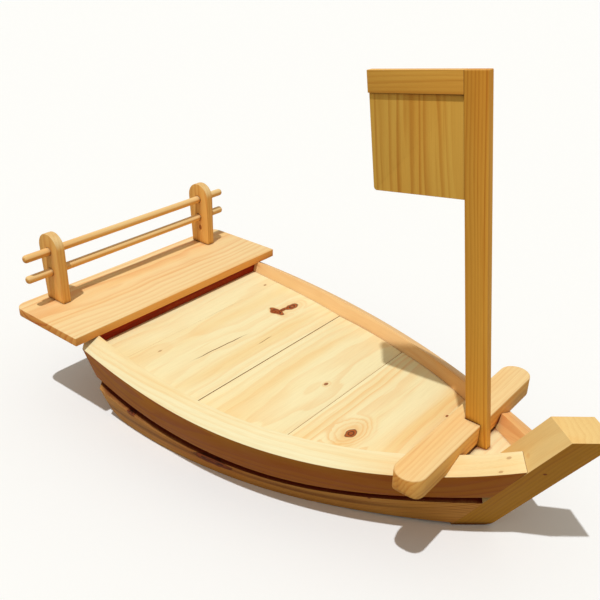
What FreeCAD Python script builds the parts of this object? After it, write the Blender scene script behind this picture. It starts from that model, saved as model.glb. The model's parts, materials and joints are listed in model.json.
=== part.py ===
"""Wooden sushi boat: a planked serving boat with a stern shelf, a rail, a crossbeam, a raked mast
with a board flag, and a square stem set cornerwise.

Millimetres. +X points to the bow, +Y to port, +Z up. The origin lies on the table under the
middle of the boat's length and width.
"""
import FreeCAD, Part
import math
import os

from FreeCAD import Vector

# Boards
BOARD_THICK = 9.5           # shelf, rail posts, floor and bottom boards
STRAKE_THICK = 20.0         # upper side planks, square to their face
LOWER_STRAKE_THICK = 16.0
GUNWALE_WIDTH = 18.7        # level width of an upper side plank's top edge
GUNWALE_RISE = 10.0         # how much higher its inner corner is than its outer corner

# Hull lines of the port side, from the stern to the bow, at even stations
SHEER_ENDS_X = (-192.0, 237.3)
SHEER_HALF_BREADTHS = (140.0, 145.0, 139.5, 119.0, 81.0, 22.9)
SHEER_HEIGHTS = (92.0, 84.0, 77.0, 74.5, 78.5, 92.0)
SEAM_ENDS_X = (-187.5, 204.6)
SEAM_HALF_BREADTHS = (125.6, 127.0, 119.6, 101.3, 70.2, 22.9)
SEAM_HEIGHTS = (43.0, 30.0, 23.5, 23.0, 30.5, 40.0)
BOTTOM_ENDS_X = (-184.0, 179.0)
BOTTOM_HALF_BREADTHS = (113.5, 117.0, 110.5, 93.0, 63.0, 22.9)
LOWER_STRAKE_PROUD = (4.0, 1.5, -0.5, -1.5, -1.5, 0.0)
SECTIONS_AFT_X = -222.0
SECTIONS_FWD_X = 270.0
SECTION_COUNT = 15

# Fits between the side planks and what lies against them; the seam is closed inside, a rabbet outside
SIDE_FIT = 0.2
SEAM_FIT = 0.04
SEAM_GAPE = 11.5
SEAM_GAPE_DEPTH = 7.5

# Bottom
BOW_LIFT_START_X = 60.0     # forward of here the planks' lower edges rise off the table
BOW_LIFT = 3.5              # rise at the stem
BOTTOM_JOINT_Y = 36.0
JOINT_GAP = 0.5

# Stem: a square timber set cornerwise and raked forward
STEM_SIDE = 32.4
STEM_RAKE = 57.1            # degrees above the table
STEM_SIDE_CORNER_X = 178.7  # port and starboard corners, at the table
STEM_TOP_Z = 136.8
STEM_TOE_RADIUS = 12.0

# Stern
STERN_MITRE = 13.0          # how much further aft a side plank's inner side reaches
STERN_HEEL_RADIUS = 18.0    # rounding of the planks' lower aft corner
TRANSOM_FRONT_X = -191.0
TRANSOM_THICK = 12.0
SHELF_FRONT_X = -187.0
SHELF_DEPTH = 106.0
SHELF_LENGTH = 300.0
SHELF_TOP_Z = 110.0
SHELF_CORNER_RADIUS = 12.0
KNEE_Y = 75.0
KNEE_THICK = 12.0
KNEE_LENGTH = 78.0
KNEE_HEIGHT = 60.0
KNEE_NOSE = 12.0            # height of a knee's outer end

# Rail
POST_FRONT_X = -256.0
POST_WIDTH = 28.0
POST_TOP_SPREAD = 4.0       # the aft edge leans out by this much
POST_HEIGHT = 77.0
POST_INSET = 41.2           # from the shelf's end to the middle of a post
RAIL_DIAMETER = 8.5
RAIL_OVERHANG = 34.7        # from the middle of a post to a rail's end
RAIL_X = -272.0
RAIL_UPPER_Z = 167.5
RAIL_LOWER_Z = 143.9
RAIL_END_ROUND = 3.0

# Floor: boards laid across the hull
FLOOR_STATIONS_X = (TRANSOM_FRONT_X, -154.0, -57.0, 40.5, 143.5, 218.0)
FLOOR_HEIGHTS = (90.0, 85.0, 74.0, 71.5, 75.0, 83.3)
RIB_THICK = 14.0

# Crossbeam
BEAM_FRONT_X = 184.1
BEAM_WIDTH = 28.6
BEAM_LENGTH = 215.0
BEAM_TOP_Z = 103.2
BEAM_THICK = 20.0
BEAM_END_ROUND = 9.0        # rounding under both ends

# Mast and flag, drawn upright and then leaned aft together
MAST_LEAN = 8.0             # degrees
MAST_WIDTH = 20.6           # fore and aft
MAST_THICK = 7.4            # athwart
MAST_AFT_X = 168.9          # aft face, at the top of the beam
MAST_LENGTH = 295.0         # above the beam
FLAG_LENGTH = 86.4
FLAG_BAR_HEIGHT = 18.0
FLAG_PANEL_HEIGHT = 81.0
FLAG_PANEL_THICK = 3.5
FLAG_CORNER_RADIUS = 3.0

FAR = 400.0                 # larger than any half of the boat
UNDER = -20.0               # a height safely below the table


def fair_line(ends_x, values):
    """A smooth value along X through evenly spaced stations, straight beyond both ends."""
    aft, fwd = ends_x
    count = len(values)
    stations = [index / (count - 1) for index in range(count)]
    curve = Part.BSplineCurve()
    curve.interpolate(Points=[Vector(station, value, 0) for station, value in zip(stations, values)],
                      Parameters=stations)

    def at(x):
        station = (x - aft) / (fwd - aft)
        inside = min(1.0, max(0.0, station))
        point, slope = curve.getD1(inside)
        return point.y + slope.y * (station - inside), slope.y / (fwd - aft)

    return at


SHEER_Y, SHEER_Z = fair_line(SHEER_ENDS_X, SHEER_HALF_BREADTHS), fair_line(SHEER_ENDS_X, SHEER_HEIGHTS)
SEAM_Y, SEAM_Z = fair_line(SEAM_ENDS_X, SEAM_HALF_BREADTHS), fair_line(SEAM_ENDS_X, SEAM_HEIGHTS)
BOTTOM_Y = fair_line(BOTTOM_ENDS_X, BOTTOM_HALF_BREADTHS)
PROUD = fair_line(SEAM_ENDS_X, LOWER_STRAKE_PROUD)


class HullSection:
    """Where the plane at x cuts the planks of the port side."""

    def __init__(self, x):
        sheer_y, sheer_slope = SHEER_Y(x)
        seam_y, seam_slope = SEAM_Y(x)
        bottom_y, bottom_slope = BOTTOM_Y(x)
        sheer, seam = Vector(x, sheer_y, SHEER_Z(x)[0]), Vector(x, seam_y, SEAM_Z(x)[0])
        bottom = Vector(x, bottom_y, 0)
        slant = [math.hypot(1.0, slope) for slope in (sheer_slope, seam_slope, bottom_slope)]

        rise = (sheer - seam).normalize()
        inward = Vector(0, -rise.z, rise.y)
        gape_depth = seam + inward * SEAM_GAPE_DEPTH * slant[1]
        gape_rise = rise * SEAM_GAPE
        self.upper = [sheer, sheer + Vector(0, -GUNWALE_WIDTH * slant[0], GUNWALE_RISE),
                      seam + inward * STRAKE_THICK * slant[1], gape_depth, gape_depth + gape_rise,
                      seam + gape_rise]

        proud = PROUD(x)[0] * slant[1]
        low_rise = (seam - bottom).normalize()
        low_inward = Vector(0, -low_rise.z, low_rise.y)
        edge = seam - rise * SEAM_FIT
        foot = bottom - low_rise * abs(UNDER)
        through = low_inward * LOWER_STRAKE_THICK * slant[2]
        self.lower = [edge - inward * proud, edge + inward * (LOWER_STRAKE_THICK * slant[1] - proud),
                      foot + through, foot]
        self.walls = [self.upper[1] * 2 - self.upper[2], self.upper[2], self.lower[2]]
        self.lower_walls = [self.lower[1] * 2 - self.lower[2], self.lower[2]]


def loft(sections, ruled=False):
    """A solid through closed sections."""
    wires = [Part.makePolygon(points + [points[0]]) for points in sections]
    return Part.makeLoft(wires, True, ruled)


def box(low, high):
    """A box between two corners."""
    return Part.makeBox(high[0] - low[0], high[1] - low[1], high[2] - low[2], Vector(*low))


def prism(points, direction):
    """A flat outline pushed along a direction."""
    return Part.Face(Part.makePolygon(points + [points[0]])).extrude(direction)


def across(points):
    """A prism over the boat's whole width from an outline of (x, z) points."""
    return prism([Vector(x, -FAR, z) for x, z in points], Vector(0, 2 * FAR, 0))


def mirrored(shape):
    """The starboard twin of a port piece."""
    return shape.mirror(Vector(0, 0, 0), Vector(0, 1, 0))


def largest(shape):
    """The largest solid of a trimmed piece."""
    return max(shape.Solids, key=lambda solid: solid.Volume)


def trimmed(shape, *cutters):
    """A piece less its cutters, as one solid."""
    for cutter in cutters:
        shape = shape.cut(cutter)
    return largest(shape)


def stem_outline(reach):
    """Points of the stem's aft ridge and of what its two aft faces meet, reach away from the ridge."""
    rake = math.radians(STEM_RAKE)
    along = Vector(math.cos(rake), 0, math.sin(rake))
    back = Vector(-math.sin(rake), 0, math.cos(rake))
    half = STEM_SIDE / math.sqrt(2)
    ridge = Vector(STEM_SIDE_CORNER_X, 0, 0) + back * half - along * FAR
    abreast = ridge - back * reach
    return along * (2 * FAR), ridge, abreast, back * reach, Vector(0, reach, 0)


def make_stem():
    """The stem: level cuts at head and foot, and a rounded toe."""
    along, ridge, abreast, back, side = stem_outline(STEM_SIDE / math.sqrt(2))
    timber = prism([ridge, abreast + side, abreast - back, abreast - side], along)
    stem = timber.common(box((-FAR, -FAR, 0), (FAR, FAR, STEM_TOP_Z)))
    rake = math.radians(STEM_RAKE)
    toe_x = STEM_SIDE_CORNER_X + STEM_SIDE / math.sqrt(2) / math.sin(rake)
    tangent = STEM_TOE_RADIUS * math.tan(rake / 2)
    centre = (toe_x - tangent, STEM_TOE_RADIUS)
    corner = across([centre, (toe_x - tangent, 0), (toe_x, 0),
                     (toe_x + tangent * math.cos(rake), tangent * math.sin(rake))])
    wheel = Part.makeCylinder(STEM_TOE_RADIUS, 2 * FAR, Vector(centre[0], -FAR, centre[1]), Vector(0, 1, 0))
    return trimmed(stem, corner.cut(wheel))


def make_stem_wedge():
    """Everything forward of the stem's two aft faces."""
    along, ridge, abreast, _, side = stem_outline(FAR)
    return prism([ridge, abreast + side, abreast - side], along)


def make_underside_cut():
    """The table, and a wedge that lifts the planks' lower edges towards the bow."""
    slope = BOW_LIFT / (STEM_SIDE_CORNER_X - BOW_LIFT_START_X)
    return across([(-FAR, 0), (BOW_LIFT_START_X, 0), (FAR, slope * (FAR - BOW_LIFT_START_X)),
                   (FAR, 4 * UNDER), (-FAR, 4 * UNDER)])


def make_stern_cut():
    """Everything aft of the mitred and raked end of the port planks."""
    top = Vector(SHEER_ENDS_X[0], SHEER_HALF_BREADTHS[0], SHEER_HEIGHTS[0])
    foot = Vector(BOTTOM_ENDS_X[0], BOTTOM_HALF_BREADTHS[0], 0)
    rake = (top - foot).normalize()
    mitre = Vector(-STERN_MITRE, -STRAKE_THICK, 0).normalize()
    aft = rake.cross(mitre).normalize()
    if aft.x > 0:
        aft = aft * -1
    middle = (top + foot) / 2
    corners = [middle + rake * FAR * a + mitre * FAR * b for a, b in ((-1, -1), (-1, 1), (1, 1), (1, -1))]
    return prism(corners, aft * FAR)


def make_heel_cut():
    """What rounds off the planks' lower aft corner."""
    radius = STERN_HEEL_RADIUS
    centre_x = BOTTOM_ENDS_X[0] + radius
    wheel = Part.makeCylinder(radius, 2 * FAR, Vector(centre_x, -FAR, radius), Vector(0, 1, 0))
    return box((-FAR, -FAR, UNDER), (centre_x, FAR, radius)).cut(wheel)


def hull_sections():
    """Sections from aft of the stern to ahead of the stem."""
    step = (SECTIONS_FWD_X - SECTIONS_AFT_X) / (SECTION_COUNT - 1)
    return [HullSection(SECTIONS_AFT_X + step * index) for index in range(SECTION_COUNT)]


def make_space(boundaries, wedge):
    """The space between two planks and their twins, aft of the stem, from the port boundary lines."""
    outlines = []
    for line in boundaries:
        port = [Vector(point.x, point.y - SIDE_FIT, point.z) for point in line]
        outlines.append([Vector(port[0].x, -FAR, port[0].z)] + port + [Vector(port[0].x, -FAR, port[-1].z)])
    port_space = loft(outlines)
    return port_space.common(mirrored(port_space)).cut(wedge)


def floor_top():
    """Points (x, z) of the floor's long section."""
    return list(zip(FLOOR_STATIONS_X, FLOOR_HEIGHTS))


def lowered(points, drop):
    """The same points, lower."""
    return [(x, z - drop) for x, z in points]


def make_crossbeam_blank():
    """The crossbeam's plank with half-round ends, rounded underneath."""
    radius = BEAM_WIDTH / 2
    middle_x = BEAM_FRONT_X - radius
    reach = BEAM_LENGTH / 2 - radius
    low = BEAM_TOP_Z - BEAM_THICK
    straight = box((middle_x - radius, -reach, low), (middle_x + radius, reach, BEAM_TOP_Z))
    ends = [Part.makeCylinder(radius, BEAM_THICK, Vector(middle_x, side * reach, low)) for side in (-1, 1)]
    plank = straight.fuse(ends).removeSplitter()
    sledge = box((middle_x - radius, -BEAM_LENGTH / 2, low), (middle_x + radius, BEAM_LENGTH / 2, BEAM_TOP_Z))
    runners = [edge for edge in sledge.Edges
               if edge.BoundBox.XLength > radius and abs(edge.BoundBox.ZMax - low) < 1e-6]
    return plank.common(sledge.makeFillet(BEAM_END_ROUND, runners))


def leaned(shape):
    """A mast piece, leaned aft about the mast's aft face at the top of the beam."""
    copy = shape.copy()
    copy.rotate(Vector(MAST_AFT_X, 0, BEAM_TOP_Z), Vector(0, 1, 0), -MAST_LEAN)
    return copy


def make_mast():
    """The mast, standing on the floor and running up through the beam's notch."""
    shaft = box((MAST_AFT_X, -MAST_THICK / 2, UNDER),
                (MAST_AFT_X + MAST_WIDTH, MAST_THICK / 2, BEAM_TOP_Z + MAST_LENGTH))
    top = floor_top()
    return trimmed(leaned(shaft), across(top + [(top[-1][0], -FAR), (top[0][0], -FAR)]))


def make_flag_bar():
    """The bar at the flag's head, as thick as the mast."""
    top = BEAM_TOP_Z + MAST_LENGTH
    return leaned(box((MAST_AFT_X - FLAG_LENGTH, -MAST_THICK / 2, top - FLAG_BAR_HEIGHT),
                      (MAST_AFT_X, MAST_THICK / 2, top)))


def make_flag_panel():
    """The thin board under the bar, with its free lower corner rounded."""
    top = BEAM_TOP_Z + MAST_LENGTH - FLAG_BAR_HEIGHT
    aft, low = MAST_AFT_X - FLAG_LENGTH, top - FLAG_PANEL_HEIGHT
    panel = box((aft, -FLAG_PANEL_THICK / 2, low), (MAST_AFT_X, FLAG_PANEL_THICK / 2, top))
    corner = [edge for edge in edges_across(panel) if abs(edge.Vertexes[0].X - aft) < 1e-6
              and abs(edge.Vertexes[0].Z - low) < 1e-6]
    return leaned(panel.makeFillet(FLAG_CORNER_RADIUS, corner))


def edges_across(shape):
    """The straight edges of a shape that run athwart."""
    return [edge for edge in shape.Edges if len(edge.Vertexes) == 2
            and abs(edge.Vertexes[0].X - edge.Vertexes[1].X) < 1e-6
            and abs(edge.Vertexes[0].Z - edge.Vertexes[1].Z) < 1e-6]


def make_shelf():
    """The stern shelf, with its two aft corners rounded."""
    aft = SHELF_FRONT_X - SHELF_DEPTH
    board = box((aft, -SHELF_LENGTH / 2, SHELF_TOP_Z - BOARD_THICK),
                (SHELF_FRONT_X, SHELF_LENGTH / 2, SHELF_TOP_Z))
    corners = [edge for edge in board.Edges if all(abs(v.X - aft) < 1e-6 for v in edge.Vertexes)
               and abs(edge.Vertexes[0].Y - edge.Vertexes[1].Y) < 1e-6]
    return board.makeFillet(SHELF_CORNER_RADIUS, corners)


def make_rail(z):
    """A round rail with softened ends."""
    reach = SHELF_LENGTH / 2 - POST_INSET + RAIL_OVERHANG
    rail = Part.makeCylinder(RAIL_DIAMETER / 2, 2 * reach, Vector(RAIL_X, -reach, z), Vector(0, 1, 0))
    ends = [edge for edge in rail.Edges if isinstance(edge.Curve, Part.Circle)]
    return rail.makeFillet(RAIL_END_ROUND, ends)


def make_post(side):
    """A rail post: a board on edge with a round head and a hole for each rail."""
    front, aft = POST_FRONT_X, POST_FRONT_X - POST_WIDTH
    radius = (POST_WIDTH + POST_TOP_SPREAD) / 2
    spring = SHELF_TOP_Z + POST_HEIGHT - radius
    y = side * (SHELF_LENGTH / 2 - POST_INSET) - BOARD_THICK / 2
    head_aft = front - 2 * radius
    head = Part.Arc(Vector(front, y, spring), Vector(front - radius, y, spring + radius),
                    Vector(head_aft, y, spring)).toShape()
    sides = [Part.makeLine(Vector(head_aft, y, spring), Vector(aft, y, SHELF_TOP_Z)),
             Part.makeLine(Vector(aft, y, SHELF_TOP_Z), Vector(front, y, SHELF_TOP_Z)),
             Part.makeLine(Vector(front, y, SHELF_TOP_Z), Vector(front, y, spring))]
    post = Part.Face(Part.Wire([head] + sides)).extrude(Vector(0, BOARD_THICK, 0))
    holes = [Part.makeCylinder(RAIL_DIAMETER / 2, 2 * BOARD_THICK, Vector(RAIL_X, y - BOARD_THICK / 2, z),
                               Vector(0, 1, 0)) for z in (RAIL_UPPER_Z, RAIL_LOWER_Z)]
    return trimmed(post, *holes)


def make_knee(side):
    """A knee behind the transom that carries the overhanging shelf."""
    y = side * KNEE_Y - KNEE_THICK / 2
    root, top = TRANSOM_FRONT_X - TRANSOM_THICK, SHELF_TOP_Z - BOARD_THICK
    return prism([Vector(root, y, top), Vector(root, y, top - KNEE_HEIGHT),
                  Vector(root - KNEE_LENGTH, y, top - KNEE_NOSE), Vector(root - KNEE_LENGTH, y, top)],
                 Vector(0, KNEE_THICK, 0))


def make_strakes(sections, wedge, underside):
    """The four side planks by name."""
    shelf_seat = box((-FAR, -FAR, SHELF_TOP_Z - BOARD_THICK), (SHELF_FRONT_X, FAR, FAR))
    stern, heel = make_stern_cut(), make_heel_cut()
    upper = trimmed(loft([section.upper for section in sections]), wedge, stern, shelf_seat,
                    make_crossbeam_blank())
    lower = trimmed(loft([section.lower for section in sections]), wedge, stern, underside, heel)
    return {"upper_strake_port": upper, "upper_strake_starboard": mirrored(upper),
            "lower_strake_port": lower, "lower_strake_starboard": mirrored(lower)}


def make_inner_boards(space):
    """Transom, floor boards and ribs: all fitted between the side planks."""
    shelf_under = SHELF_TOP_Z - BOARD_THICK
    top = floor_top()
    under = lowered(top, BOARD_THICK)
    pieces = {"transom": largest(space.common(box((TRANSOM_FRONT_X - TRANSOM_THICK, -FAR, 0),
                                                  (TRANSOM_FRONT_X, FAR, shelf_under))))}
    deck = space.common(across(top + under[::-1]))
    half_gap = JOINT_GAP / 2
    for number, (aft, fwd) in enumerate(zip(FLOOR_STATIONS_X, FLOOR_STATIONS_X[1:]), 1):
        near = aft if number == 1 else aft + half_gap
        pieces["floor_board_%d" % number] = largest(deck.common(box((near, -FAR, 0), (fwd - half_gap, FAR, FAR))))
    hold = space.common(across(under + [(under[-1][0], BOARD_THICK), (under[0][0], BOARD_THICK)]))
    for number, x in enumerate(FLOOR_STATIONS_X[1:-1], 1):
        rib = box((x - RIB_THICK / 2, -FAR, 0), (x + RIB_THICK / 2, FAR, FAR))
        pieces["rib_%d" % number] = largest(hold.common(rib))
    return pieces


def make_bottom_boards(space, underside):
    """Three boards that close the bottom between the lower side planks."""
    bottom = space.common(box((TRANSOM_FRONT_X, -FAR, 0), (FAR, FAR, BOARD_THICK))).cut(underside)
    near, far = BOTTOM_JOINT_Y - JOINT_GAP / 2, BOTTOM_JOINT_Y + JOINT_GAP / 2
    strips = {"port": (far, FAR), "centre": (-near, near), "starboard": (-FAR, -far)}
    return {"bottom_board_" + word: largest(bottom.common(box((-FAR, low, 0), (FAR, high, FAR))))
            for word, (low, high) in strips.items()}


def build():
    """Every piece of the boat by name."""
    wedge, underside = make_stem_wedge(), make_underside_cut()
    sections = hull_sections()
    mast = make_mast()
    pieces = make_strakes(sections, wedge, underside)
    pieces.update(make_inner_boards(make_space([section.walls for section in sections], wedge)))
    pieces.update(make_bottom_boards(make_space([section.lower_walls for section in sections], wedge), underside))
    pieces.update({"stem": make_stem(), "stern_shelf": make_shelf(), "mast": mast,
                   "crossbeam": trimmed(make_crossbeam_blank(), mast),
                   "flag_bar": make_flag_bar(), "flag_panel": make_flag_panel(),
                   "rail_upper": make_rail(RAIL_UPPER_Z), "rail_lower": make_rail(RAIL_LOWER_Z)})
    for side, word in ((1, "port"), (-1, "starboard")):
        pieces["rail_post_" + word] = make_post(side)
        pieces["shelf_knee_" + word] = make_knee(side)
    return pieces


def main():
    """Write each piece as one STEP file."""
    os.makedirs("parts", exist_ok=True)
    for name, shape in build().items():
        bounds = shape.BoundBox
        print("%-24s solids %d valid %s volume %8.0f  x %7.1f %7.1f  y %7.1f %7.1f  z %6.1f %6.1f" % (
            name, len(shape.Solids), shape.isValid(), shape.Volume, bounds.XMin, bounds.XMax,
            bounds.YMin, bounds.YMax, bounds.ZMin, bounds.ZMax))
        shape.exportStep("parts/%s.step" % name)


if __name__ == "__main__":
    main()
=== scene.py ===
"""Dresses the wooden sushi boat: eased boards of pine with rings, knots and cracks, in a pale studio."""

import json
import logging
import math
from dataclasses import dataclass, field
from enum import Enum
from typing import Dict, List, Optional, Sequence, Tuple, Union

import bmesh
import bpy
import numpy as np
from mathutils import Matrix, Vector


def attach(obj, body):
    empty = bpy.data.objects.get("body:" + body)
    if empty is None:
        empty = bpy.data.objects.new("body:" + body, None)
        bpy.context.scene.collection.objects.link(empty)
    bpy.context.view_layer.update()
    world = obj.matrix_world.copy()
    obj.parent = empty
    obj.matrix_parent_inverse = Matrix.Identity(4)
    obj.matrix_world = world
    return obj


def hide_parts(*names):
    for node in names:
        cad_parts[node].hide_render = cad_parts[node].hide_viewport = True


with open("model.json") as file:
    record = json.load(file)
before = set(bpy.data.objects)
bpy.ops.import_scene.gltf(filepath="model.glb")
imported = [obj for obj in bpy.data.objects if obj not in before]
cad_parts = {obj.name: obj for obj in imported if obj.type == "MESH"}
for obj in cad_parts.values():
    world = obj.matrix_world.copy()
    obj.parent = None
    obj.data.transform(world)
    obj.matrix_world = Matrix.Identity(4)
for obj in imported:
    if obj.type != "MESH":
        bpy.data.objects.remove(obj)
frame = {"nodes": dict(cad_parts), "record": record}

LOG = logging.getLogger("sushi_boat")
MM = 0.001
BODY = "root"
WOOD = "wood"                      # name of the attribute that holds a board's own coordinates

Colour = Tuple[float, float, float]
Point = Tuple[float, float, float]
Pair = Tuple[float, float]
Socket = bpy.types.NodeSocket
Value = Union[float, Sequence[float], Socket]


class Side(Enum):
    """A side of the boat, with the sign of its y."""

    STARBOARD = -1.0
    PORT = 1.0

    @property
    def word(self) -> str:
        """The side's word in the nodes' names."""
        return self.name.lower()


class Run(Enum):
    """Which way a board's grain runs: its along and across directions."""

    LENGTHWISE = ((1.0, 0.0, 0.0), (0.0, 1.0, 0.0))
    LENGTHWISE_UPRIGHT = ((1.0, 0.0, 0.0), (0.0, 0.0, 1.0))
    ATHWART = ((0.0, 1.0, 0.0), (1.0, 0.0, 0.0))
    ATHWART_UPRIGHT = ((0.0, 1.0, 0.0), (0.0, 0.0, 1.0))
    UPRIGHT = ((0.0, 0.0, 1.0), (1.0, 0.0, 0.0))
    MAST = ((-0.1392, 0.0, 0.9903), (0.9903, 0.0, 0.1392))          # leans 8 degrees aft
    FLAG_BAR = ((0.9903, 0.0, 0.1392), (-0.1392, 0.0, 0.9903))      # square to the mast
    STEM = ((0.5432, 0.0, 0.8396), (0.0, 1.0, 0.0))                 # rakes 33 degrees forward


@dataclass(frozen=True)
class Knot:
    """A knot, or a small mark, that runs through a board.

    Attributes:
        place: its centre, in millimetres, in the boat's frame.
        radius: its half width across the grain, in millimetres.
        stretch: its length along the grain over its width.
        pull: how many rings it pushes aside.
        reach: how far it bends the rings, in radii.
        dark: how far its colour goes to the dark heart tone.
        row: which row of the board's coordinates spans its width, 0 for across or 1 for through.
    """

    place: Point
    radius: float
    stretch: float = 1.4
    pull: float = 3.0
    reach: float = 3.0
    dark: float = 0.9
    row: int = 0


@dataclass(frozen=True)
class Crack:
    """A drying crack along the grain.

    Attributes:
        start: one end, in millimetres, in the boat's frame.
        end: the other end.
        width: its greatest width, in millimetres.
    """

    start: Point
    end: Point
    width: float


@dataclass(frozen=True)
class Noise:
    """One of the wood's noises.

    Attributes:
        scale: waves per metre across, through and along the board.
        shift: what it adds to the finish's seed.
        detail: how many finer layers it has.
    """

    scale: Point
    shift: float = 0.0
    detail: float = 2.0


@dataclass(frozen=True)
class Pine:
    """A finish of bare planed pine, as a solid pattern of rings round the log's heart.

    Attributes:
        early: linear colour of the pale early wood.
        late: linear colour of the dark line that ends a year.
        ring: width of one year, in millimetres.
        heart: where the log's heart lies across and through the board, in millimetres.
        contrast: strength of the dark lines.
        wander: how far the rings wander along the board, in millimetres.
        side: linear tint of painted shade on the faces that look sideways or down.
        level: upward part of a face's normal above which it has no painted shade.
        rough: roughness of the planed face.
        blush: strength of the broad orange bands.
        uneven: by how many years a ring's width varies.
        crevice_shade: linear tint of the painted shade in its crevices.
        seed: shifts every noise, so that no two boards are alike.
    """

    early: Colour
    late: Colour
    ring: float = 4.0
    heart: Pair = (0.0, -40.0)
    contrast: float = 0.55
    wander: float = 6.0
    side: Colour = (0.96, 0.70, 0.40)
    level: float = 0.55
    rough: float = 0.58
    blush: float = 0.6
    uneven: float = 1.8
    crevice_shade: Colour = (0.15, 0.022, 0.005)
    seed: float = 0.0


class Graph:
    """Adds nodes to one material and joins them."""

    def __init__(self, tree: bpy.types.NodeTree) -> None:
        """Keeps the tree that the nodes go into."""
        self.tree = tree

    def node(self, kind: str, **settings: object) -> bpy.types.Node:
        """Adds a node.

        Args:
            kind: its class name, less the word ShaderNode.
            settings: its own properties.

        Returns:
            The node.
        """
        made = self.tree.nodes.new("ShaderNode" + kind)
        for name, value in settings.items():
            setattr(made, name, value)
        return made

    def feed(self, target: Socket, value: Value) -> None:
        """Joins a socket to a value, or sets it.

        Args:
            target: the socket.
            value: another socket, or a number or colour to set it to.
        """
        if isinstance(value, bpy.types.NodeSocket):
            self.tree.links.new(value, target)
        else:
            target.default_value = value

    def split(self, vector: Socket) -> bpy.types.NodeOutputs:
        """Splits a vector into its three parts.

        Args:
            vector: the vector's socket.

        Returns:
            The three sockets.
        """
        made = self.node("SeparateXYZ")
        self.feed(made.inputs[0], vector)
        return made.outputs

    def math(self, operation: str, first: Value, second: Value = 0.0, third: Value = 0.0) -> Socket:
        """Works out one step on numbers.

        Args:
            operation: Blender's name of the step.
            first: its first number.
            second: its second number.
            third: its third number.

        Returns:
            The result's socket.
        """
        made = self.node("Math", operation=operation)
        for target, value in zip(made.inputs, (first, second, third)):
            self.feed(target, value)
        return made.outputs[0]

    def times(self, first: Value, second: Value) -> Socket:
        """Multiplies two numbers."""
        return self.math("MULTIPLY", first, second)

    def plus(self, first: Value, second: Value) -> Socket:
        """Adds two numbers."""
        return self.math("ADD", first, second)

    def gap(self, value: Value, place: Value) -> Socket:
        """How far a value is from a place, without its sign."""
        return self.math("ABSOLUTE", self.math("SUBTRACT", value, place))

    def length(self, first: Value, second: Value) -> Socket:
        """Length of the slant over two square sides."""
        return self.math("SQRT", self.plus(self.times(first, first), self.times(second, second)))

    def swing(self, noise: Value, half: float, middle: float = 0.0) -> Socket:
        """Makes a noise swing by half to either side of a middle."""
        return self.math("MULTIPLY_ADD", noise, 2.0 * half, middle - half)

    def ramp(self, value: Value, low: float, high: float, start: float = 0.0, end: float = 1.0) -> Socket:
        """Runs smoothly from start at low to end at high.

        Args:
            value: what is mapped.
            low: value at which the result is start.
            high: value at which the result is end.
            start: first result.
            end: last result.

        Returns:
            The result's socket.
        """
        if low > high:
            low, high, start, end = high, low, end, start
        made = self.node("MapRange", interpolation_type="SMOOTHSTEP")
        for name, number in (("Value", value), ("From Min", low), ("From Max", high),
                             ("To Min", start), ("To Max", end)):
            self.feed(made.inputs[name], number)
        return made.outputs["Result"]

    def noise(self, place: Socket, kind: Noise, seed: float) -> Socket:
        """Smooth noise about a half, stretched by its scales.

        Args:
            place: where it is read.
            kind: its scales and detail.
            seed: which noise.

        Returns:
            The noise's socket.
        """
        stretched = self.node("VectorMath", operation="MULTIPLY")
        self.feed(stretched.inputs[0], place)
        self.feed(stretched.inputs[1], kind.scale)
        made = self.node("TexNoise", noise_dimensions="4D")
        self.feed(made.inputs["Vector"], stretched.outputs[0])
        self.feed(made.inputs["W"], seed)
        self.feed(made.inputs["Scale"], 1.0)
        self.feed(made.inputs["Detail"], kind.detail)
        return made.outputs[0]

    def mix(self, share: Value, first: Value, second: Value, blend: str = "MIX") -> Socket:
        """Mixes two colours.

        Args:
            share: how much of the second shows.
            first: the first colour.
            second: the second colour.
            blend: Blender's name of the way they mix.

        Returns:
            The colour's socket.
        """
        made = self.node("Mix", data_type="RGBA", blend_type=blend)
        self.feed(made.inputs[0], share)
        for target, value in ((made.inputs[6], first), (made.inputs[7], second)):
            self.feed(target, value if isinstance(value, bpy.types.NodeSocket) else (*value, 1.0))
        return made.outputs[2]

    def tint(self, share: Value, colour: Value, tint: Value) -> Socket:
        """Multiplies a colour by a share of a tint."""
        return self.mix(share, colour, tint, "MULTIPLY")


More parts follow.
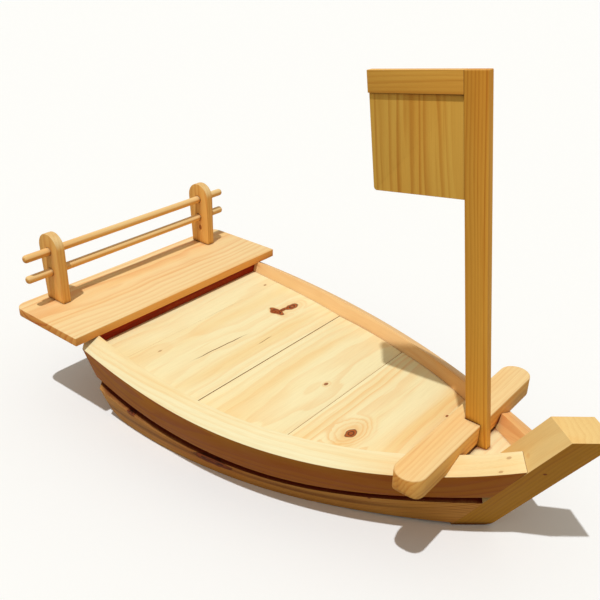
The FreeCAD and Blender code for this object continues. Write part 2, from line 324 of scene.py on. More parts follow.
@dataclass
class Board:
    """One piece of wood that stands for a CAD node: its eased copy and its finish.

    Attributes:
        node: the CAD node.
        finish: its pine.
        run: the way of its grain.
        ease: width of its rounded edges, in millimetres, or 0.
        nook: how far round a point occluders are looked for, for the painted shade in crevices, in
            millimetres.
        nook_span: coordinates across the grain where the painted shade is nil and where it is full, in
            millimetres.
        bow_shade: place along a side plank from where its outer face has the painted shade at any height.
        nook_range: open shares of the view between which the painted shade goes from none to full.
        bent: whether its grain follows a plank that is bent in plan and in height.
        lap: how far the aft edge reaches over its joint, in millimetres.
        origin: a place that its grain is drawn from, in millimetres, or None for its own middle.
        knots: its knots and marks.
        cracks: its drying cracks.
        lines: its middle, or the fair lines that its bent grain follows, once survey has found them.
    """

    node: str
    finish: Pine
    run: Run
    ease: float = 0.7
    nook: float = 10.0
    nook_span: Pair = (-2000.0, -1000.0)
    bow_shade: float = 1000.0
    nook_range: Pair = (0.74, 0.22)
    bent: bool = False
    lap: float = 0.0
    origin: Optional[Point] = None
    knots: Tuple[Knot, ...] = ()
    cracks: Tuple[Crack, ...] = ()
    lines: Dict[str, np.ndarray] = field(default_factory=dict)

    FAIR_DEGREE = 4
    EASE_ANGLE = math.radians(32.0)
    EASE_STEPS = 3
    SAME_PLANE = math.radians(0.6)
    WELD = 1e-6
    AFT_EDGE = 1.0                     # depth of the edge that a lap moves, in millimetres

    def axes(self) -> np.ndarray:
        """Rows that turn a place into across, through and along."""
        along, across = (np.array(direction) for direction in self.run.value)
        return np.array([across, np.cross(along, across), along])

    def to_wood(self, places: np.ndarray) -> np.ndarray:
        """Turns places in the boat's frame into the board's own coordinates.

        Args:
            places: one row of metres per point.

        Returns:
            One row of across, through and along per point, in metres.
        """
        straight = np.array(places, float)
        if self.bent:
            x = straight[:, 0]
            straight[:, 1] = np.abs(straight[:, 1]) - np.polyval(self.lines["y"], x)
            straight[:, 2] = straight[:, 2] - np.polyval(self.lines["z"], x)
        else:
            straight = straight - self.lines["centre"]
        return straight @ self.axes().T

    def point_in_wood(self, place: Point) -> np.ndarray:
        """A point of the boat's frame, in millimetres, in the board's own coordinates, in metres."""
        return self.to_wood(np.array([place]) * MM)[0]

    def survey(self, places: np.ndarray) -> None:
        """Finds the board's middle, or the fair lines that its bent grain follows.

        Args:
            places: one row of metres per vertex.
        """
        if self.bent:
            x = places[:, 0]
            self.lines = {"y": np.polyfit(x, np.abs(places[:, 1]), self.FAIR_DEGREE),
                          "z": np.polyfit(x, places[:, 2], self.FAIR_DEGREE)}
        elif self.origin is not None:
            self.lines = {"centre": np.array(self.origin) * MM}
        else:
            self.lines = {"centre": (places.min(0) + places.max(0)) / 2}

    def build_mesh(self) -> bpy.types.Mesh:
        """Copies the node's mesh, welds it, joins its flat faces and closes its joint.

        Returns:
            The board's own mesh.
        """
        mesh = frame["nodes"][self.node].data.copy()
        mesh.name = self.node + "_wood"
        work = bmesh.new()
        work.from_mesh(mesh)
        bmesh.ops.remove_doubles(work, verts=work.verts, dist=self.WELD)
        if not self.bent:
            bmesh.ops.dissolve_limit(work, angle_limit=self.SAME_PLANE, use_dissolve_boundaries=False,
                                     verts=work.verts, edges=work.edges, delimit=set())
        aft = min(vertex.co.x for vertex in work.verts) + self.AFT_EDGE * MM
        bmesh.ops.translate(work, vec=(-self.lap * MM, 0.0, 0.0),
                            verts=[vertex for vertex in work.verts if vertex.co.x < aft])
        for face in work.faces:
            face.smooth = True
        for edge in work.edges:
            edge.smooth = bool(self.ease) or edge.calc_face_angle(0.0) < self.EASE_ANGLE
        work.to_mesh(mesh)
        work.free()
        return mesh

    def mark_grain(self, mesh: bpy.types.Mesh) -> None:
        """Gives each vertex its place in the wood.

        Args:
            mesh: the board's own mesh.
        """
        places = np.array([vertex.co for vertex in mesh.vertices])
        self.survey(places)
        attribute = mesh.attributes.new(WOOD, "FLOAT_VECTOR", "POINT")
        attribute.data.foreach_set("vector", self.to_wood(places).astype(np.float32).ravel())

    def ease_edges(self, piece: bpy.types.Object) -> None:
        """Rounds the sharp edges.

        Args:
            piece: the board's object.
        """
        easing = piece.modifiers.new("ease", "BEVEL")
        easing.width = self.ease * MM
        easing.segments = self.EASE_STEPS
        easing.limit_method = "ANGLE"
        easing.angle_limit = self.EASE_ANGLE
        easing.harden_normals = True

    def build(self) -> bpy.types.Object:
        """Builds the board in place of its node, and gives it its finish.

        Returns:
            The finished piece.
        """
        mesh = self.build_mesh()
        self.mark_grain(mesh)
        mesh.materials.clear()
        mesh.materials.append(PineShader(self).build())
        piece = bpy.data.objects.new(self.node + "_wood", mesh)
        bpy.context.scene.collection.objects.link(piece)
        if self.ease:
            self.ease_edges(piece)
        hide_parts(self.node)
        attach(piece, BODY)
        slot_of(self.node)
        return piece


class PineShader:
    """Builds a board's material: rings, fibres, knots, cracks, painted shade in crevices, end grain,
    painted shade on sides, and bump.

    A name that ends in RAMP holds the low and high of a ramp, and its start and end where they
    aren't 0 and 1.
    """

    # The wood's noises
    SWAY = Noise((3.0, 3.0, 5.0), 0.0, 1.0)              # of the log's heart, across the board
    SWING = Noise((6.0, 6.0, 9.0), 5.3)                  # and through it
    UNEVEN = Noise((55.0, 55.0, 4.0), 9.1, 1.0)          # of the width of the years
    PATCH = Noise((14.0, 14.0, 5.0), 2.7)                # of the strength of the dark lines
    FIBRE = Noise((1500.0, 1500.0, 45.0), 1.0)
    STREAK = Noise((420.0, 420.0, 11.0), 3.0)
    BAND = Noise((26.0, 26.0, 3.2), 7.7)
    RAG = Noise((160.0, 160.0, 160.0))                   # of a knot's outline
    WAVE = Noise((0.0, 0.0, 60.0), 4.0, 1.0)             # of a crack's line

    # The rings, in parts of a year, and what lies over them
    LINE_RISE_RAMP = (0.3, 0.88)
    LINE_FALL_RAMP = (1.0, 0.9)
    LINE_STRENGTH = (0.75, 0.35)                         # what changes from year to year, and the least
    PATCH_RAMP = (0.3, 0.62, 0.55, 1.15)
    STREAK_RAMP = (0.58, 0.74, 0.0, 0.35)
    FIBRE_RAMP = (0.35, 0.75, 0.0, 0.22)
    FIBRE_TINT = (0.78, 0.72, 0.62)
    BAND_RAMP = (0.46, 0.68)
    BAND_TINT = (0.97, 0.78, 0.56)

    # Knots, in their own radii but for the depth in millimetres
    KNOT_RAG = 0.35
    KNOT_BEND_FROM = 0.6
    KNOT_RAMP = (1.08, 0.9)
    KNOT_DEPTH = 7.0
    KNOT_FADE = 0.8                                      # share of the depth where it starts to fade
    HALO_SHARE = 0.35
    HALO_TINT = (0.92, 0.62, 0.36)
    HEART_RINGS = 1.8
    HEART_RAMP = (0.35, 0.8, 0.05, 0.95)
    HEART_DARK = (0.05, 0.008, 0.003)
    HEART_RIM = (0.44, 0.095, 0.016)

    # Cracks
    CRACK_WAVE = 1.2                                     # in millimetres
    CRACK_FADE = 0.3                                     # share of the length over which an end closes
    CRACK_RAMP = (1.15, 0.75)                            # in half widths
    CRACK_LEAST = 1e-6
    CRACK_DARK = (0.16, 0.06, 0.02)
    CRACK_HEIGHT = 3.0

    # Painted shade in crevices and on sides, and end grain, by the parts of a face's normal
    NOOK_SAMPLES = 12
    BOW_RAMP = (0.1, 0.3)
    BOW_BLEND = 12.0                                     # in millimetres
    END_RAMP = (0.75, 0.95, 0.0, 0.5)
    END_TINT = (0.82, 0.68, 0.5)
    UNDER = -0.05
    SIDE_LINES = 1.5                                     # strength of the dark lines in the painted shade on the sides
    # makes the painted side shade deeper on the dark lines
    DEEPER_SHADE = (0.80, 0.62, 0.45)

    # Gloss and bump
    ROUGH_RAMP = (0.2, 0.8)
    ROUGH_MORE = 0.14
    LINE_ROUGH = -0.08
    SPECULAR = 0.10
    FIBRE_HEIGHT = 0.35
    LINE_HEIGHT = 0.5
    BUMP_STRENGTH = 0.35
    BUMP_DEPTH = 0.12                                    # in millimetres

    def __init__(self, board: Board) -> None:
        """Adds the board's material and reads the board's own coordinates in it.

        Args:
            board: the board that it is for.
        """
        self.board = board
        self.pine = board.finish
        self.made = bpy.data.materials.new(board.node + "_pine")
        self.made.use_nodes = True
        self.graph = Graph(self.made.node_tree)
        reader = self.graph.node("Attribute", attribute_name=WOOD, attribute_type="GEOMETRY")
        self.wood = reader.outputs["Vector"]
        self.across, self.through, self.along = self.graph.split(self.wood)
        self.hearts: List[Tuple[Knot, Socket, Socket]] = []

    def noise(self, kind: Noise, shift: float = 0.0) -> Socket:
        """One of the wood's noises, with this board's seed."""
        return self.graph.noise(self.wood, kind, self.pine.seed + kind.shift + shift)

    def years(self) -> Socket:
        """Counts the years from the log's heart, which wanders along the board.

        Returns:
            The socket of the years, with fractions.
        """
        graph, pine = self.graph, self.pine
        wander = pine.wander * MM
        sideways = graph.swing(self.noise(self.SWAY), wander, -pine.heart[0] * MM)
        inwards = graph.swing(self.noise(self.SWING), wander, -pine.heart[1] * MM)
        radius = graph.length(graph.plus(self.across, sideways), graph.plus(self.through, inwards))
        years = graph.math("DIVIDE", radius, pine.ring * MM)
        return graph.plus(years, graph.times(self.noise(self.UNEVEN), pine.uneven))

    def bend_round_knots(self, years: Socket) -> Socket:
        """Bends the rings round the knots, and keeps each knot's distance and mask in hearts.

        Args:
            years: the years' socket.

        Returns:
            The bent years' socket.
        """
        rows = (self.across, self.through)
        for knot in self.board.knots:
            distance = self.knot_distance(knot, rows[knot.row])
            bend = self.graph.ramp(distance, self.KNOT_BEND_FROM, knot.reach, knot.pull, 0.0)
            years = self.graph.plus(years, bend)
            self.hearts.append((knot, distance, self.knot_mask(knot, distance, rows[1 - knot.row])))
        return years

    def knot_distance(self, knot: Knot, across: Socket) -> Socket:
        """Distance from a knot's middle, in its own radii.

        Args:
            knot: the knot.
            across: the board's coordinate that spans the knot's width.

        Returns:
            The distance's socket.
        """
        graph = self.graph
        here = self.board.point_in_wood(knot.place)
        rag = self.noise(self.RAG, knot.radius)
        sideways = graph.times(graph.math("SUBTRACT", across, here[knot.row]), 1.0 / (knot.radius * MM))
        lengthways = graph.times(graph.math("SUBTRACT", self.along, here[2]),
                                 1.0 / (knot.radius * knot.stretch * MM))
        return graph.plus(graph.length(sideways, lengthways), graph.swing(rag, self.KNOT_RAG))

    def knot_mask(self, knot: Knot, distance: Socket, inward: Socket) -> Socket:
        """Where a knot's heart shows: inside its outline, and not right through a thick board.

        Args:
            knot: the knot.
            distance: distance from its middle, in its own radii.
            inward: the board's coordinate along the knot's own length.

        Returns:
            The mask's socket.
        """
        here = self.board.point_in_wood(knot.place)[1 - knot.row]
        inside = self.graph.ramp(distance, *self.KNOT_RAMP)
        depth = self.KNOT_DEPTH * MM
        near = self.graph.ramp(self.graph.gap(inward, here), depth, self.KNOT_FADE * depth)
        return self.graph.times(inside, near)

    def late_lines(self, years: Socket) -> Socket:
        """The dark line that ends each year: soft inside, sharp outside, in changing strength.

        Args:
            years: the years' socket.

        Returns:
            The strength's socket.
        """
        graph = self.graph
        phase = graph.math("FRACT", years)
        line = graph.times(graph.ramp(phase, *self.LINE_RISE_RAMP), graph.ramp(phase, *self.LINE_FALL_RAMP))
        year = graph.node("TexWhiteNoise", noise_dimensions="1D")
        graph.feed(year.inputs["W"], graph.math("FLOOR", years))
        strength = graph.math("MULTIPLY_ADD", year.outputs["Value"], *self.LINE_STRENGTH)
        patch = graph.ramp(self.noise(self.PATCH), *self.PATCH_RAMP)
        return graph.times(graph.times(line, strength), patch)

    def grain(self, late: Socket, fibre: Socket) -> Socket:
        """Colours the rings, and lays streaks, fibres and broad bands over them.

        Args:
            late: strength of the dark lines.
            fibre: the fibres' noise.

        Returns:
            The colour's socket.
        """
        graph, pine = self.graph, self.pine
        colour = graph.mix(graph.times(late, pine.contrast), pine.early, pine.late)
        colour = graph.mix(graph.ramp(self.noise(self.STREAK), *self.STREAK_RAMP), colour, pine.late)
        colour = graph.tint(graph.ramp(fibre, *self.FIBRE_RAMP), colour, self.FIBRE_TINT)
        band = graph.ramp(self.noise(self.BAND), *self.BAND_RAMP, 0.0, pine.blush)
        return graph.tint(band, colour, self.BAND_TINT)

    def lay_knots(self, colour: Socket) -> Socket:
        """Lays each knot's halo and ringed heart over the grain.

        Args:
            colour: the colour before it.

        Returns:
            The colour's socket.
        """
        graph = self.graph
        for knot, distance, mask in self.hearts:
            halo = graph.ramp(distance, knot.reach, 1.0, 0.0, self.HALO_SHARE * knot.dark)
            colour = graph.tint(halo, colour, self.HALO_TINT)
            rings = graph.math("FRACT", graph.times(distance, self.HEART_RINGS))
            heart = graph.mix(graph.ramp(rings, *self.HEART_RAMP), self.HEART_RIM, self.HEART_DARK)
            colour = graph.mix(graph.times(mask, knot.dark), colour, heart)
        return colour

    def crack_mask(self, crack: Crack) -> Socket:
        """Where a drying crack is open: widest midway and closed at both ends.

        Args:
            crack: the crack.

        Returns:
            The mask's socket.
        """
        graph = self.graph
        start, end = (self.board.point_in_wood(place) for place in (crack.start, crack.end))
        slope = (end[0] - start[0]) / (end[2] - start[2])
        line = graph.math("MULTIPLY_ADD", self.along, slope, start[0] - slope * start[2])
        line = graph.plus(line, graph.swing(self.noise(self.WAVE), self.CRACK_WAVE * MM))
        low, high = sorted((start[2], end[2]))
        fade = self.CRACK_FADE * (high - low)
        open_share = graph.times(graph.ramp(self.along, low, low + fade),
                                 graph.ramp(self.along, high, high - fade))
        half = graph.math("MULTIPLY_ADD", open_share, crack.width * MM / 2, self.CRACK_LEAST)
        off = graph.math("DIVIDE", graph.gap(self.across, line), half)
        return graph.times(open_share, graph.ramp(off, *self.CRACK_RAMP))

    def open_cracks(self, colour: Socket, height: Socket) -> Tuple[Socket, Socket]:
        """Darkens and sinks the drying cracks.

        Args:
            colour: the colour before it.
            height: the bump's height before it.

        Returns:
            The sockets of the colour and of the height.
        """
        graph = self.graph
        for crack in self.board.cracks:
            gap = self.crack_mask(crack)
            colour = graph.mix(gap, colour, self.CRACK_DARK)
            height = graph.math("SUBTRACT", height, graph.times(gap, self.CRACK_HEIGHT))
        return colour, height

    def paint_crevice_shade(self, colour: Socket, forward: Socket) -> Socket:
        """Paints shade into the crevices that ambient occlusion finds, on a side plank only near its groove
        and at the bow.

        Args:
            colour: the colour before it.
            forward: forward part of the face's normal.

        Returns:
            The colour's socket.
        """
        graph, board = self.graph, self.board
        nook = graph.node("AmbientOcclusion", samples=self.NOOK_SAMPLES)
        nook.inputs["Distance"].default_value = board.nook * MM
        reach = graph.ramp(self.across, board.nook_span[0] * MM, board.nook_span[1] * MM)
        if board.bent:
            bow = graph.ramp(self.along, board.bow_shade * MM, (board.bow_shade + self.BOW_BLEND) * MM)
            reach = graph.math("MAXIMUM", reach, graph.times(graph.ramp(forward, *self.BOW_RAMP), bow))
        # how much painted shade lies in the crevices here
        shaded = graph.times(graph.ramp(nook.outputs["AO"], *board.nook_range), reach)
        return graph.tint(shaded, colour, self.pine.crevice_shade)

    def tint_ends(self, colour: Socket, normal: Socket) -> Socket:
        """Tints the end grain.

        Args:
            colour: the colour before it.
            normal: the face's normal.

        Returns:
            The colour's socket.
        """
        graph = self.graph
        facing = graph.node("VectorMath", operation="DOT_PRODUCT")
        graph.feed(facing.inputs[0], normal)
        graph.feed(facing.inputs[1], self.board.run.value[0])
        end = graph.ramp(graph.math("ABSOLUTE", facing.outputs["Value"]), *self.END_RAMP)
        return graph.tint(end, colour, self.END_TINT)

    def paint_side_shade(self, colour: Socket, late: Socket, upward: Socket) -> Socket:
        """Paints shade on the faces that look sideways or down, deeper on the dark lines.

        Args:
            colour: the colour before it.
            late: strength of the dark lines.
            upward: upward part of the face's normal.

        Returns:
            The colour's socket.
        """
        graph, pine = self.graph, self.pine
        deep = tuple(tone * share for tone, share in zip(pine.side, self.DEEPER_SHADE))
        lines = graph.times(late, min(1.0, self.SIDE_LINES * pine.contrast))
        side = graph.mix(lines, pine.side, deep)
        return graph.tint(graph.ramp(upward, pine.level, self.UNDER), colour, side)

    def build(self) -> bpy.types.Material:
        """Joins the colour, the roughness and the bump to the shader.

        Returns:
            The material.
        """
        graph, rough = self.graph, self.pine.rough
        late = self.late_lines(self.bend_round_knots(self.years()))
        fibre = self.noise(self.FIBRE)
        colour = self.lay_knots(self.grain(late, fibre))
        height = graph.math("MULTIPLY_ADD", fibre, self.FIBRE_HEIGHT, graph.times(late, self.LINE_HEIGHT))
        colour, height = self.open_cracks(colour, height)

        normal = graph.node("NewGeometry").outputs["True Normal"]
        facets = graph.split(normal)
        colour = self.paint_crevice_shade(colour, facets[0])
        colour = self.tint_ends(colour, normal)
        colour = self.paint_side_shade(colour, late, facets[2])

        shader = self.made.node_tree.nodes["Principled BSDF"]
        graph.feed(shader.inputs["Base Color"], colour)
        planed = graph.ramp(fibre, *self.ROUGH_RAMP, rough, rough + self.ROUGH_MORE)
        graph.feed(shader.inputs["Roughness"], graph.math("MULTIPLY_ADD", late, self.LINE_ROUGH, planed))
        shader.inputs["Specular IOR Level"].default_value = self.SPECULAR
        bump = graph.node("Bump")
        bump.inputs["Strength"].default_value = self.BUMP_STRENGTH
        bump.inputs["Distance"].default_value = self.BUMP_DEPTH * MM
        graph.feed(bump.inputs["Height"], height)
        graph.feed(shader.inputs["Normal"], bump.outputs[0])
        return self.made


def slot_of(node: str) -> str:
    """The record's material slot of a CAD node."""
    return next(entry["material_slot"] for entry in frame["record"]["subparts"] if entry["node"] == node)


# Linear colours of the pine's early and late wood, the painted shade of its sides, and the painted shade in
# the floor's joints
FLOOR_EARLY, FLOOR_LATE = (0.93, 0.83, 0.50), (0.88, 0.58, 0.26)
EDGE_EARLY, EDGE_LATE = (0.93, 0.86, 0.55), (0.90, 0.70, 0.36)
PORT_EARLY, ORANGE_LATE = (0.94, 0.63, 0.30), (0.82, 0.42, 0.16)
WARM_EARLY, WARM_LATE = (0.91, 0.66, 0.31), (0.74, 0.36, 0.11)
AMBER_EARLY, AMBER_LATE = (0.84, 0.49, 0.14), (0.62, 0.28, 0.06)
BROWN_EARLY, BROWN_LATE = (0.82, 0.44, 0.12), (0.54, 0.21, 0.05)
HULL_SIDE_SHADE = (0.54, 0.215, 0.032)
PORT_SIDE_SHADE = (0.54, 0.290, 0.062)     # painted shade on warmer planks, for the same brown
JOINT_SHADE = (0.42, 0.20, 0.14)
# painted shade on the sides of the mast and the flag
MAST_SIDE_SHADE = (0.92, 0.79, 0.38)


@dataclass
class Hull:
    """Side planks, stem, transom, ribs and bottom boards."""

    ease: float = 0.8
    bottom_ease: float = 0.5
    groove_nook: float = 34.0          # reach of the painted shade that takes in the deep groove between the planks
    groove_range: Pair = (0.84, 0.50)
    groove_above: Pair = (-4.0, -11.0)                  # span of the painted groove shade on the upper planks
    groove_below: Pair = (-3.0, 3.0)                    # and on the lower ones
    stem_corner: float = 200.0         # where the painted shade beside the stem begins on the upper planks
    shelf_nook: float = 60.0           # reach of the painted shade that takes in the shelf over the transom
    shelf_range: Pair = (0.95, 0.60)
    under_shelf: Pair = (0.0, 20.0)                     # span of the painted shade under the shelf on the transom
    plug_radius: float = 1.3
    ribs: int = 4

    PLUGS = ((219.2, 19.7, 95.6), (219.6, 33.4, 89.7))  # on the port side, and mirrored
    MARKS = (Knot((-137.0, -129.2, 31.9), 3.8, 1.5, 1.5, 3.0, 0.9),
             Knot((-32.3, -117.3, 18.9), 6.0, 3.8, 2.5, 3.0, 0.9),
             Knot((119.3, -71.5, 29.6), 1.2, 1.2, 0.2, 2.0, 0.9))
    STEM_MARK = Knot((248.8, -13.1, 90.1), 1.2, 1.2, 0.3, 2.0, 0.85)

    def plank(self, node: str, finish: Pine, tinted: Pair, **more: object) -> Board:
        """One bent side plank.

        Args:
            node: its CAD node.
            finish: its pine.
            tinted: the span of the painted shade in the groove.
            more: its other fields.

        Returns:
            The board.
        """
        return Board(node, finish, Run.LENGTHWISE_UPRIGHT, self.ease, nook=self.groove_nook,
                     nook_range=self.groove_range, nook_span=tinted, bent=True, **more)

    def side_planks(self, side: Side, number: int) -> List[Board]:
        """Lists the planks of one side.

        Args:
            side: which side.
            number: shifts their noises, so that the sides differ.

        Returns:
            The upper and the lower plank.
        """
        port = side is Side.PORT
        early, late = (PORT_EARLY, ORANGE_LATE) if port else (EDGE_EARLY, EDGE_LATE)
        # Their side tints paint the shade on the planks' outer faces.
        upper = Pine(early, late, ring=5.0, heart=(30.0, 16.0), contrast=0.55, wander=5.0, blush=0.8,
                     side=PORT_SIDE_SHADE if port else HULL_SIDE_SHADE, level=0.25, seed=11.0 + number)
        lower = Pine(BROWN_EARLY, BROWN_LATE, ring=2.8, heart=(-34.0, 18.0), contrast=0.6, wander=4.0,
                     side=(0.95, 0.86, 0.7), seed=21.0 + number)
        plugs = tuple(Knot((x, side.value * y, z), self.plug_radius, 1.2, 0.2, 2.0, 0.45, row=1)
                      for x, y, z in self.PLUGS)
        return [self.plank("upper_strake_" + side.word, upper, self.groove_above,
                           bow_shade=self.stem_corner, knots=plugs),
                self.plank("lower_strake_" + side.word, lower, self.groove_below,
                           knots=() if port else self.MARKS)]

    def ends(self) -> List[Board]:
        """Lists the stem at the bow and the transom at the stern.

        Returns:
            The two boards.
        """
        # The stem's side tint paints shade on its faces that look sideways or down; the transom's dark red
        # tint in its crevices paints the shade under the shelf.
        stem = Pine((0.93, 0.68, 0.29), (0.78, 0.46, 0.15), ring=4.4, heart=(-60.0, 95.0), contrast=0.26,
                    wander=7.0, side=(0.70, 0.45, 0.12), level=0.4, seed=31.0)
        dusk = Pine((0.85, 0.60, 0.28), (0.62, 0.33, 0.10), ring=4.0, heart=(10.0, -60.0), contrast=0.6,
                    side=(0.78, 0.52, 0.26), crevice_shade=(0.42, 0.05, 0.003), seed=40.0)
        return [Board("stem", stem, Run.STEM, self.ease, knots=(self.STEM_MARK,)),
                Board("transom", dusk, Run.ATHWART_UPRIGHT, self.ease, nook=self.shelf_nook,
                      nook_range=self.shelf_range, nook_span=self.under_shelf)]

    def hidden_boards(self) -> List[Board]:
        """Lists the knees, the ribs and the bottom boards.

        Returns:
            The boards.
        """
        inner = Pine(WARM_EARLY, WARM_LATE, ring=4.0, heart=(10.0, -60.0), contrast=0.6, seed=41.0)
        knees = [Board("shelf_knee_" + side.word, inner, Run.LENGTHWISE_UPRIGHT, self.ease)
                 for side in (Side.PORT, Side.STARBOARD)]
        ribs = [Board("rib_%d" % number, inner, Run.ATHWART_UPRIGHT, 0.0)
                for number in range(1, self.ribs + 1)]
        bottom = [Board("bottom_board_" + word, inner, Run.LENGTHWISE, self.bottom_ease)
                  for word in (Side.PORT.word, "centre", Side.STARBOARD.word)]
        return knees + ribs + bottom

    def boards(self) -> List[Board]:
        """Lists the hull's boards with their finishes.

        Returns:
            The boards.
        """
        planks = self.side_planks(Side.STARBOARD, 0) + self.side_planks(Side.PORT, 1)
        return planks + self.ends() + self.hidden_boards()


@dataclass
class Floor:
    """Five boards laid across the hull, with the knots, marks and cracks of their top faces."""

    ease: float = 0.35
    open_ease: float = 1.4             # along the joint that gapes most
    # reach and range of the painted shade in the joints and corners of the floor
    nook: float = 6.0
    nook_range: Pair = (0.90, 0.50)
    closed_lap: float = 0.5            # closes a joint
    fine_lap: float = 0.45             # leaves a fine line of it

    WIDE_ORIGIN = (-105.5, 0.0, 77.25)  # boards 1 and 2, whose joint is closed, share their grain
    NEAR_SHELF = (Knot((-159.4, 103.2, 85.7), 1.1, 1.8, 0.4, 2.5, 0.7),)
    WINGED = (Knot((-106.2, 91.0, 79.6), 4.6, 2.2, 2.5, 3.0, 0.95),
              Knot((-108.8, 77.5, 80.0), 2.5, 3.6, 0.3, 1.6, 0.95),
              Knot((-111.0, 69.5, 80.2), 10.0, 0.46, 1.0, 1.8, 0.95),
              Knot((-113.0, 66.0, 80.3), 4.2, 0.9, 0.3, 1.6, 0.95),
              Knot((-140.8, -81.9, 83.5), 1.0, 2.4, 0.3, 2.0, 0.5))
    CRACKS = (Crack((-107.2, -78.0, 79.7), (-102.0, 20.0, 79.1), 1.0),
              Crack((-81.3, 0.0, 76.8), (-82.4, 31.0, 76.9), 0.6))
    MIDWAY = (Knot((16.4, -3.3, 72.1), 1.8, 1.5, 1.0, 3.0, 0.85),)
    AFT_OF_MAST = (Knot((83.5, -53.5, 73.0), 5.0, 1.5, 4.0, 5.0, 0.95),
                   Knot((137.6, 25.5, 74.8), 1.4, 1.5, 0.5, 2.5, 0.9))

    def pine(self, ring: float, heart: Pair, seed: float, **more: float) -> Pine:
        """The floor's pale pine, with painted shade in its joints."""
        return Pine(FLOOR_EARLY, FLOOR_LATE, ring=ring, heart=heart, crevice_shade=JOINT_SHADE, seed=seed, **more)

    def board(self, number: int, finish: Pine, ease: float, **more: object) -> Board:
        """One of the floor's boards.

        Args:
            number: its number from the stern.
            finish: its pine.
            ease: width of its rounded edges, in millimetres.
            more: its other fields.

        Returns:
            The board.
        """
        return Board("floor_board_%d" % number, finish, Run.ATHWART, ease, self.nook,
                     nook_range=self.nook_range, **more)

    def boards(self) -> List[Board]:
        """Lists the floor's boards with their finishes.

        Returns:
            The boards, from the stern to the bow.
        """
        wide = self.pine(7.0, (-30.0, -60.0), 52.0, contrast=0.36, wander=12.0)
        third = self.pine(8.0, (20.0, -50.0), 53.0, contrast=0.34, wander=14.0)
        fourth = self.pine(7.5, (8.0, -30.0), 54.0, contrast=0.6, wander=14.0, blush=0.9)
        fifth = self.pine(5.0, (-20.0, -60.0), 55.0, contrast=0.4)
        return [
            self.board(1, wide, 0.0, origin=self.WIDE_ORIGIN, knots=self.NEAR_SHELF),
            self.board(2, wide, 0.0, origin=self.WIDE_ORIGIN, knots=self.WINGED, cracks=self.CRACKS,
                       lap=self.closed_lap),
            self.board(3, third, self.open_ease, knots=self.MIDWAY, lap=self.fine_lap),
            self.board(4, fourth, self.ease, knots=self.AFT_OF_MAST, lap=self.fine_lap),
            self.board(5, fifth, self.ease),
        ]


@dataclass
class SternDeck:
    """The shelf over the stern, with its posts and rails."""

    ease: float = 0.9
    post_ease: float = 1.8

    POST_MARK = Knot((-269.5, 108.0, 131.0), 2.6, 1.2, 1.0, 2.5, 0.75)

    def boards(self) -> List[Board]:
        """Lists the shelf, the posts and the rails with their finishes.

        Returns:
            The boards.
        """
        # Each side tint paints shade on the faces that look sideways or down.
        shelf = Pine((0.93, 0.71, 0.37), ORANGE_LATE, ring=6.5, heart=(-14.0, -34.0), contrast=0.6,
                     wander=9.0, side=(1.0, 0.66, 0.33), seed=61.0)
        boards = [Board("stern_shelf", shelf, Run.ATHWART, self.ease)]
        for number, side in enumerate((Side.PORT, Side.STARBOARD)):
            post = Pine(WARM_EARLY, WARM_LATE, ring=4.0, heart=(20.0, 26.0), contrast=0.28, wander=3.0,
                        side=(0.98, 0.76, 0.44), seed=71.0 + number)
            boards.append(Board("rail_post_" + side.word, post, Run.UPRIGHT, self.post_ease,
                                knots=(self.POST_MARK,) if side is Side.PORT else ()))
        for number, level in enumerate(("upper", "lower")):
            rail = Pine((0.92, 0.68, 0.33), (0.78, 0.42, 0.14), ring=3.0, heart=(9.0, 6.0), contrast=0.4,
                        wander=1.5, side=(0.98, 0.78, 0.48), seed=75.0 + number)
            boards.append(Board("rail_" + level, rail, Run.ATHWART, 0.0))
        return boards


@dataclass
class Rig:
    """Crossbeam, mast and flag."""

    beam_ease: float = 1.4
    mast_ease: float = 0.7
    bar_ease: float = 0.3
    panel_ease: float = 0.5
    panel_nook: float = 4.0            # reach of the painted shade in the flag's thin joint with the mast
    panel_range: Pair = (0.9, 0.4)

    def boards(self) -> List[Board]:
        """Lists the beam, the mast and the flag's two boards with their finishes.

        Returns:
            The boards.
        """
        # Each side tint paints shade on the faces that look sideways or down.
        beam = Pine((0.93, 0.69, 0.34), (0.80, 0.44, 0.17), ring=3.8, heart=(-24.0, -20.0), contrast=0.34,
                    wander=4.0, side=(0.97, 0.72, 0.38), uneven=3.0, seed=81.0)
        mast = Pine(AMBER_EARLY, AMBER_LATE, ring=3.2, heart=(64.0, 3.0), contrast=0.42, wander=1.5,
                    side=MAST_SIDE_SHADE, uneven=4.0, seed=82.0)
        bar = Pine((0.90, 0.58, 0.21), AMBER_LATE, ring=3.4, heart=(54.0, 3.0), contrast=0.36, wander=1.5,
                   side=MAST_SIDE_SHADE, uneven=4.0, seed=83.0)
        panel = Pine((0.88, 0.60, 0.22), (0.64, 0.31, 0.07), ring=8.5, heart=(62.0, -10.0), contrast=0.42,
                     wander=6.0, side=MAST_SIDE_SHADE, uneven=3.5, seed=86.0)
        return [Board("crossbeam", beam, Run.ATHWART, self.beam_ease),
                Board("mast", mast, Run.MAST, self.mast_ease),
                Board("flag_bar", bar, Run.FLAG_BAR, self.bar_ease),
                Board("flag_panel", panel, Run.MAST, self.panel_ease, self.panel_nook,
                      nook_range=self.panel_range)]


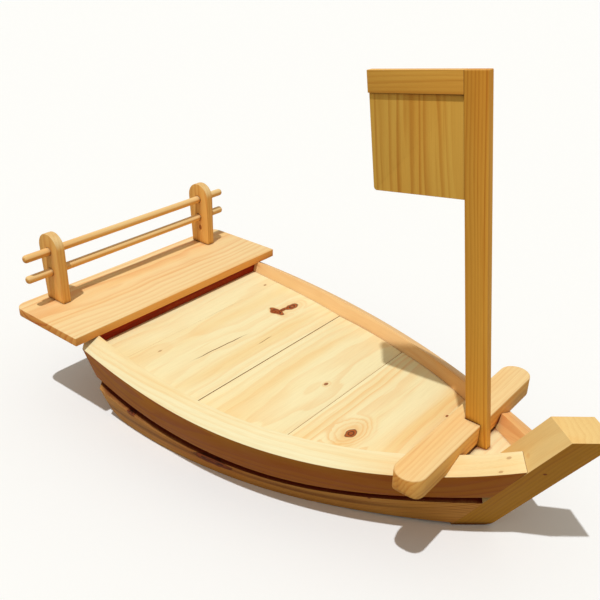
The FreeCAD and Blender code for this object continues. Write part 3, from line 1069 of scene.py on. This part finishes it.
@dataclass
class Studio:
    """Pale floor, soft key light, even sky and the camera of the photograph."""

    place: Point = (0.4018, -0.5330, 0.5040)
    heading: float = 128.51            # degrees from +X to +Y
    pitch: float = 27.31               # degrees down
    roll: float = -1.51
    focal: float = 46.68
    sensor: float = 36.0
    sight: float = 100.0               # how far the camera sees, in metres
    key_travel: Point = (-0.089, 0.312, -0.946)
    key_strength: float = 2.1
    key_softness: float = 1.1          # width of the sun's disc, in degrees
    sky: float = 0.42
    sky_tone: Colour = (1.0, 0.89, 0.75)
    floor_half: float = 12.0
    floor_tone: Colour = (0.945, 0.98, 1.0)
    floor_glow: float = 0.3            # share of its tone that the floor throws back on the boat
    floor_rough: float = 0.9
    floor_gloss: float = 0.1

    WHITE = (1.0, 1.0, 1.0)

    def seen(self, graph: Graph) -> Socket:
        """Whether the camera sees a place, directly, mirrored or through glass.

        Args:
            graph: the graph of the material or the world.

        Returns:
            The socket, 1 where it is seen.
        """
        rays = graph.node("LightPath").outputs
        through = graph.math("MAXIMUM", rays["Is Glossy Ray"], rays["Is Transmission Ray"])
        return graph.math("MAXIMUM", rays["Is Camera Ray"], through)

    def build_camera(self) -> None:
        """Sets the camera where the photograph was taken."""
        heading, pitch, roll = (math.radians(angle) for angle in (self.heading, self.pitch, self.roll))
        ahead = Vector((math.cos(heading) * math.cos(pitch), math.sin(heading) * math.cos(pitch),
                        -math.sin(pitch)))
        level = Vector((math.sin(heading), -math.cos(heading), 0.0))
        down = ahead.cross(level)
        right = level * math.cos(roll) + down * math.sin(roll)
        up = level * math.sin(roll) - down * math.cos(roll)
        lens = bpy.data.cameras.new("camera")
        lens.lens = self.focal
        lens.sensor_width = self.sensor
        lens.clip_end = self.sight
        camera = bpy.data.objects.new("camera", lens)
        turn = Matrix((right, up, -ahead)).transposed()
        camera.matrix_world = Matrix.Translation(self.place) @ turn.to_4x4()
        bpy.context.scene.collection.objects.link(camera)
        bpy.context.scene.camera = camera

    def build_lights(self) -> None:
        """Adds the key light and an even sky that the camera sees as white."""
        key = bpy.data.lights.new("key", "SUN")
        key.energy = self.key_strength
        key.angle = math.radians(self.key_softness)
        lamp = bpy.data.objects.new("key", key)
        lamp.rotation_mode = "QUATERNION"
        lamp.rotation_quaternion = Vector(self.key_travel).to_track_quat("-Z", "Y")
        bpy.context.scene.collection.objects.link(lamp)
        world = bpy.data.worlds.new("sky")
        world.use_nodes = True
        graph = Graph(world.node_tree)
        background = world.node_tree.nodes["Background"]
        strength = graph.math("MULTIPLY_ADD", self.seen(graph), 1.0 - self.sky, self.sky)
        graph.feed(background.inputs["Strength"], strength)
        graph.feed(background.inputs["Color"], graph.mix(self.seen(graph), self.sky_tone, self.WHITE))
        bpy.context.scene.world = world

    def build_floor(self) -> None:
        """Adds the plain pale floor that keeps the boat's shadow."""
        work = bmesh.new()
        bmesh.ops.create_grid(work, x_segments=1, y_segments=1, size=self.floor_half)
        mesh = bpy.data.meshes.new("studio_floor")
        work.to_mesh(mesh)
        work.free()
        ground = bpy.data.objects.new("studio_floor", mesh)
        bpy.context.scene.collection.objects.link(ground)
        paint = bpy.data.materials.new("studio_floor")
        paint.use_nodes = True
        shader = paint.node_tree.nodes["Principled BSDF"]
        graph = Graph(paint.node_tree)
        thrown = tuple(self.floor_glow * channel for channel in self.floor_tone)
        graph.feed(shader.inputs["Base Color"], graph.mix(self.seen(graph), thrown, self.floor_tone))
        shader.inputs["Roughness"].default_value = self.floor_rough
        shader.inputs["Specular IOR Level"].default_value = self.floor_gloss
        mesh.materials.append(paint)

    def build(self) -> None:
        """Builds the camera, the lights and the floor."""
        self.build_camera()
        self.build_lights()
        self.build_floor()
        bpy.context.scene.view_settings.view_transform = "Standard"


def main() -> None:
    """Builds the studio, then every sub-assembly in order."""
    logging.basicConfig(level=logging.INFO, format="%(name)s %(message)s")
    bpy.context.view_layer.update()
    Studio().build()
    for assembly in (Hull(), Floor(), SternDeck(), Rig()):
        for board in assembly.boards():
            piece = board.build()
            LOG.info("%s: %s, %d faces", type(assembly).__name__, piece.name, len(piece.data.polygons))


if __name__ == "__main__":
    main()
